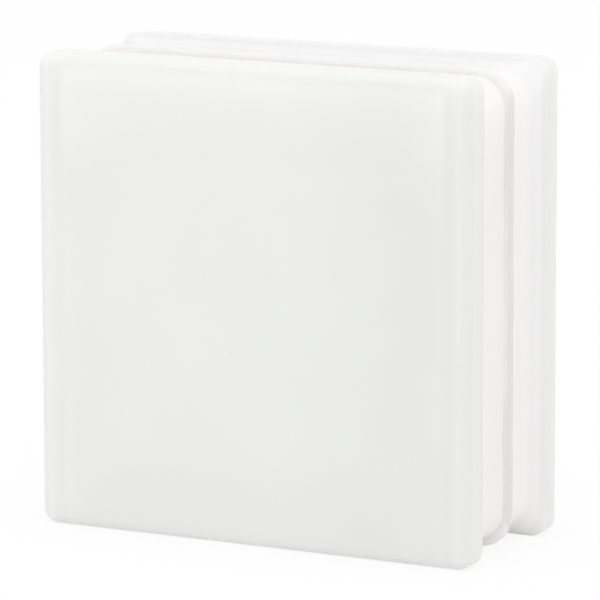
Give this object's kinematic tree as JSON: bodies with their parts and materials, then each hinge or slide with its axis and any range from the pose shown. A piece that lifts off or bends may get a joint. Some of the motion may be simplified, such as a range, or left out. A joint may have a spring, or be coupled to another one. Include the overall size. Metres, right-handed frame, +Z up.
{
  "type": "glass block",
  "caption": "Square hollow wall block of opal white glass: flat glossy faces with rounded rims, a recessed mortar channel round the edge and a fused seam bead along its middle.",
  "frame": {"origin": "middle of the underside, level with the lower rims that the block stands on", "axes": "+Z up, X along the width, Y through the thickness with the front face towards -Y"},
  "size_m": [0.19, 0.08, 0.19],
  "materials": {
    "opal_glass": "opal white pressed glass, fire polished and glossy, not see-through"
  },
  "bodies": {
    "root": {"front_half": "opal_glass", "back_half": "opal_glass"}
  },
  "joints": []
}
